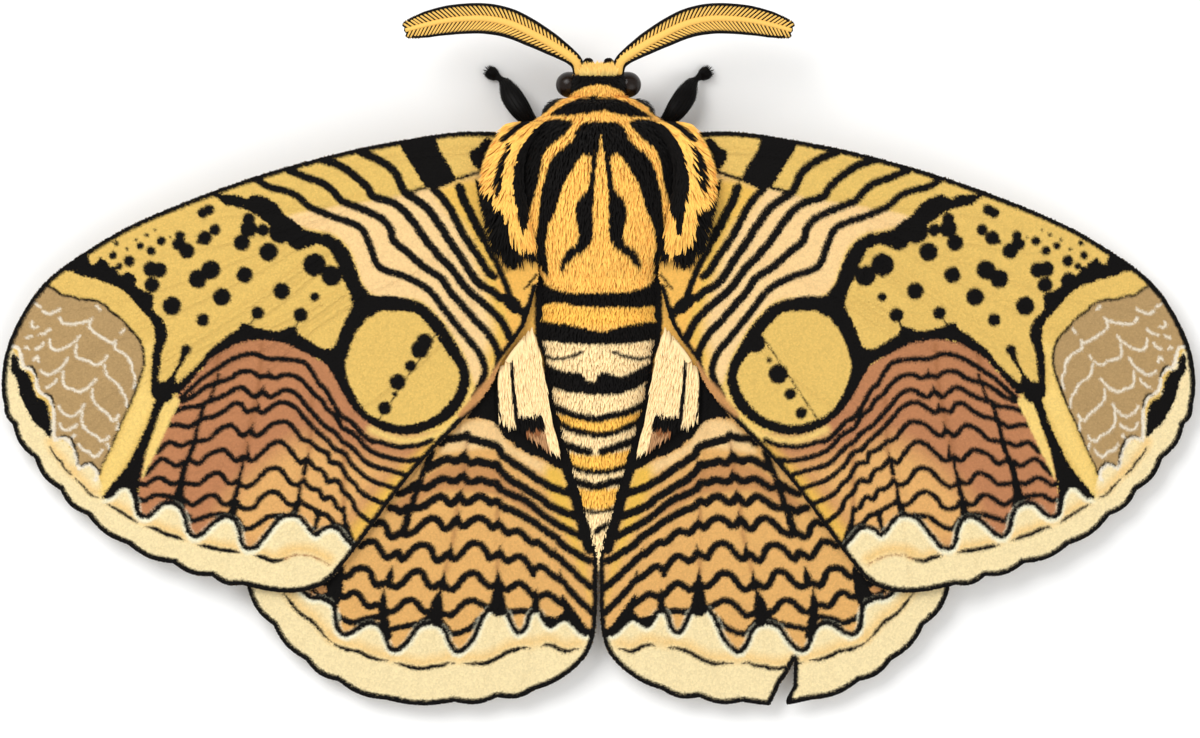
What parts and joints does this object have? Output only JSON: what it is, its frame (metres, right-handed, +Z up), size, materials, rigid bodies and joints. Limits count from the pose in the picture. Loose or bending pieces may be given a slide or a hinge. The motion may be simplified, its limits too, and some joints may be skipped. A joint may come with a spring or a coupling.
{
  "type": "brahmaea hearseyi moth",
  "caption": "Life-size owl moth with spread, scalloped wings, comb antennae and furred body, standing flat on its legs.",
  "frame": {"origin": "on the floor under the centre of the bounding box", "axes": "+Z up, +Y toward the head, +X toward the animal's right wings"},
  "size_m": [0.1792, 0.105, 0.0202],
  "materials": {
    "thorax_fur": "dense fur of scales, orange yellow with black stripes",
    "collar_fur": "short fur, yellow with black arcs",
    "head_fur": "short black and yellow fur",
    "eye_cornea": "glossy dark compound eye",
    "palp_fur": "short black fur",
    "antenna_comb": "satin yellow horn with dark edges",
    "tegula_fur": "long yellow and black fur",
    "abdomen_fur": "fur in cream, orange and black bands",
    "forewing_scales": "matt scales with black wavy lines, spots and a ring",
    "hindwing_scales": "matt brown scales with black wavy lines and a cream margin",
    "leg_scales": "black scales",
    "panel_hair": "long cream hair"
  },
  "bodies": {
    "root": {"thorax": "thorax_fur", "collar": "collar_fur", "head": "head_fur", "eye_left": "eye_cornea", "eye_right": "eye_cornea", "palp_left": "palp_fur", "palp_right": "palp_fur", "antenna_left": "antenna_comb", "antenna_right": "antenna_comb", "tegula_left": "tegula_fur", "tegula_right": "tegula_fur", "abdomen": "abdomen_fur", "forewing_left": "forewing_scales", "forewing_right": "forewing_scales", "hindwing_left": "hindwing_scales", "hindwing_right": "hindwing_scales", "leg_front_left": "leg_scales", "leg_front_right": "leg_scales", "leg_middle_left": "leg_scales", "leg_middle_right": "leg_scales", "leg_hind_left": "leg_scales", "leg_hind_right": "leg_scales", "hair_panel_left": "panel_hair", "hair_panel_right": "panel_hair"}
  },
  "joints": []
}
